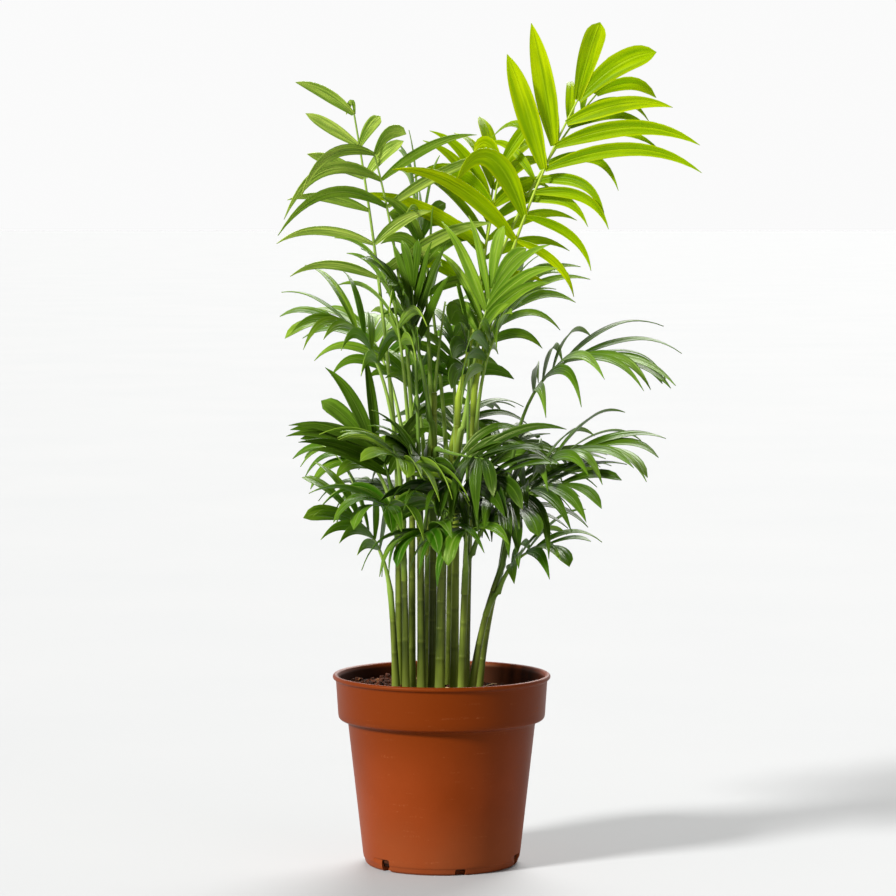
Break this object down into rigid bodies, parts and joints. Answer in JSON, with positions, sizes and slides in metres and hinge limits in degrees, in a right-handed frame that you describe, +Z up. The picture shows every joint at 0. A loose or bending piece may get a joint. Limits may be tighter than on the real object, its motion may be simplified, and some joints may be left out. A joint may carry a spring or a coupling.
{
  "type": "potted palm",
  "caption": "Small potted palm with slender green canes and feathery arching fronds, standing in a round tapered plastic nursery pot.",
  "frame": {"origin": "centre of the pot's flat underside, on the surface it stands on", "axes": "+Z up along the pot's axis, +X to the right seen from the front, +Y away from the front"},
  "size_m": [0.229, 0.1942, 0.4619],
  "materials": {
    "pot": "satin moulded plastic, terracotta brown",
    "soil": "rough dark peat and bark mix",
    "cane": "smooth green cane",
    "new_leaf": "satin young leaf, yellow green",
    "green_leaf": "satin leaf, mid green",
    "dark_leaf": "satin leaf, deep green"
  },
  "bodies": {
    "root": {"pot": "pot", "soil": "soil", "stem_01": "cane", "stem_02": "cane", "stem_03": "cane", "stem_04": "cane", "stem_05": "cane", "stem_06": "cane", "stem_07": "cane", "stem_08": "cane", "stem_09": "cane", "stem_10": "cane", "stem_11": "cane", "stem_12": "cane", "stem_13": "cane", "stem_14": "cane", "stem_15": "cane", "frond_01": "new_leaf", "frond_02": "new_leaf", "frond_03": "new_leaf", "frond_04": "green_leaf", "frond_05": "green_leaf", "frond_06": "dark_leaf", "frond_07": "dark_leaf", "frond_08": "green_leaf", "frond_09": "green_leaf", "frond_10": "green_leaf", "frond_11": "dark_leaf", "frond_12": "dark_leaf", "frond_13": "dark_leaf", "frond_14": "dark_leaf", "frond_15": "green_leaf", "frond_16": "green_leaf", "frond_17": "dark_leaf", "frond_18": "dark_leaf", "frond_19": "green_leaf", "frond_20": "green_leaf", "frond_21": "green_leaf", "frond_22": "dark_leaf", "frond_23": "dark_leaf", "frond_24": "dark_leaf", "frond_25": "green_leaf", "frond_26": "green_leaf", "frond_27": "dark_leaf", "frond_28": "dark_leaf", "frond_29": "dark_leaf", "frond_30": "green_leaf", "frond_31": "green_leaf", "frond_32": "new_leaf", "frond_33": "dark_leaf", "frond_34": "green_leaf", "frond_35": "green_leaf", "frond_36": "green_leaf", "frond_37": "dark_leaf", "frond_38": "green_leaf", "frond_39": "dark_leaf", "frond_40": "dark_leaf", "frond_41": "dark_leaf", "frond_42": "green_leaf", "frond_43": "green_leaf"}
  },
  "joints": []
}
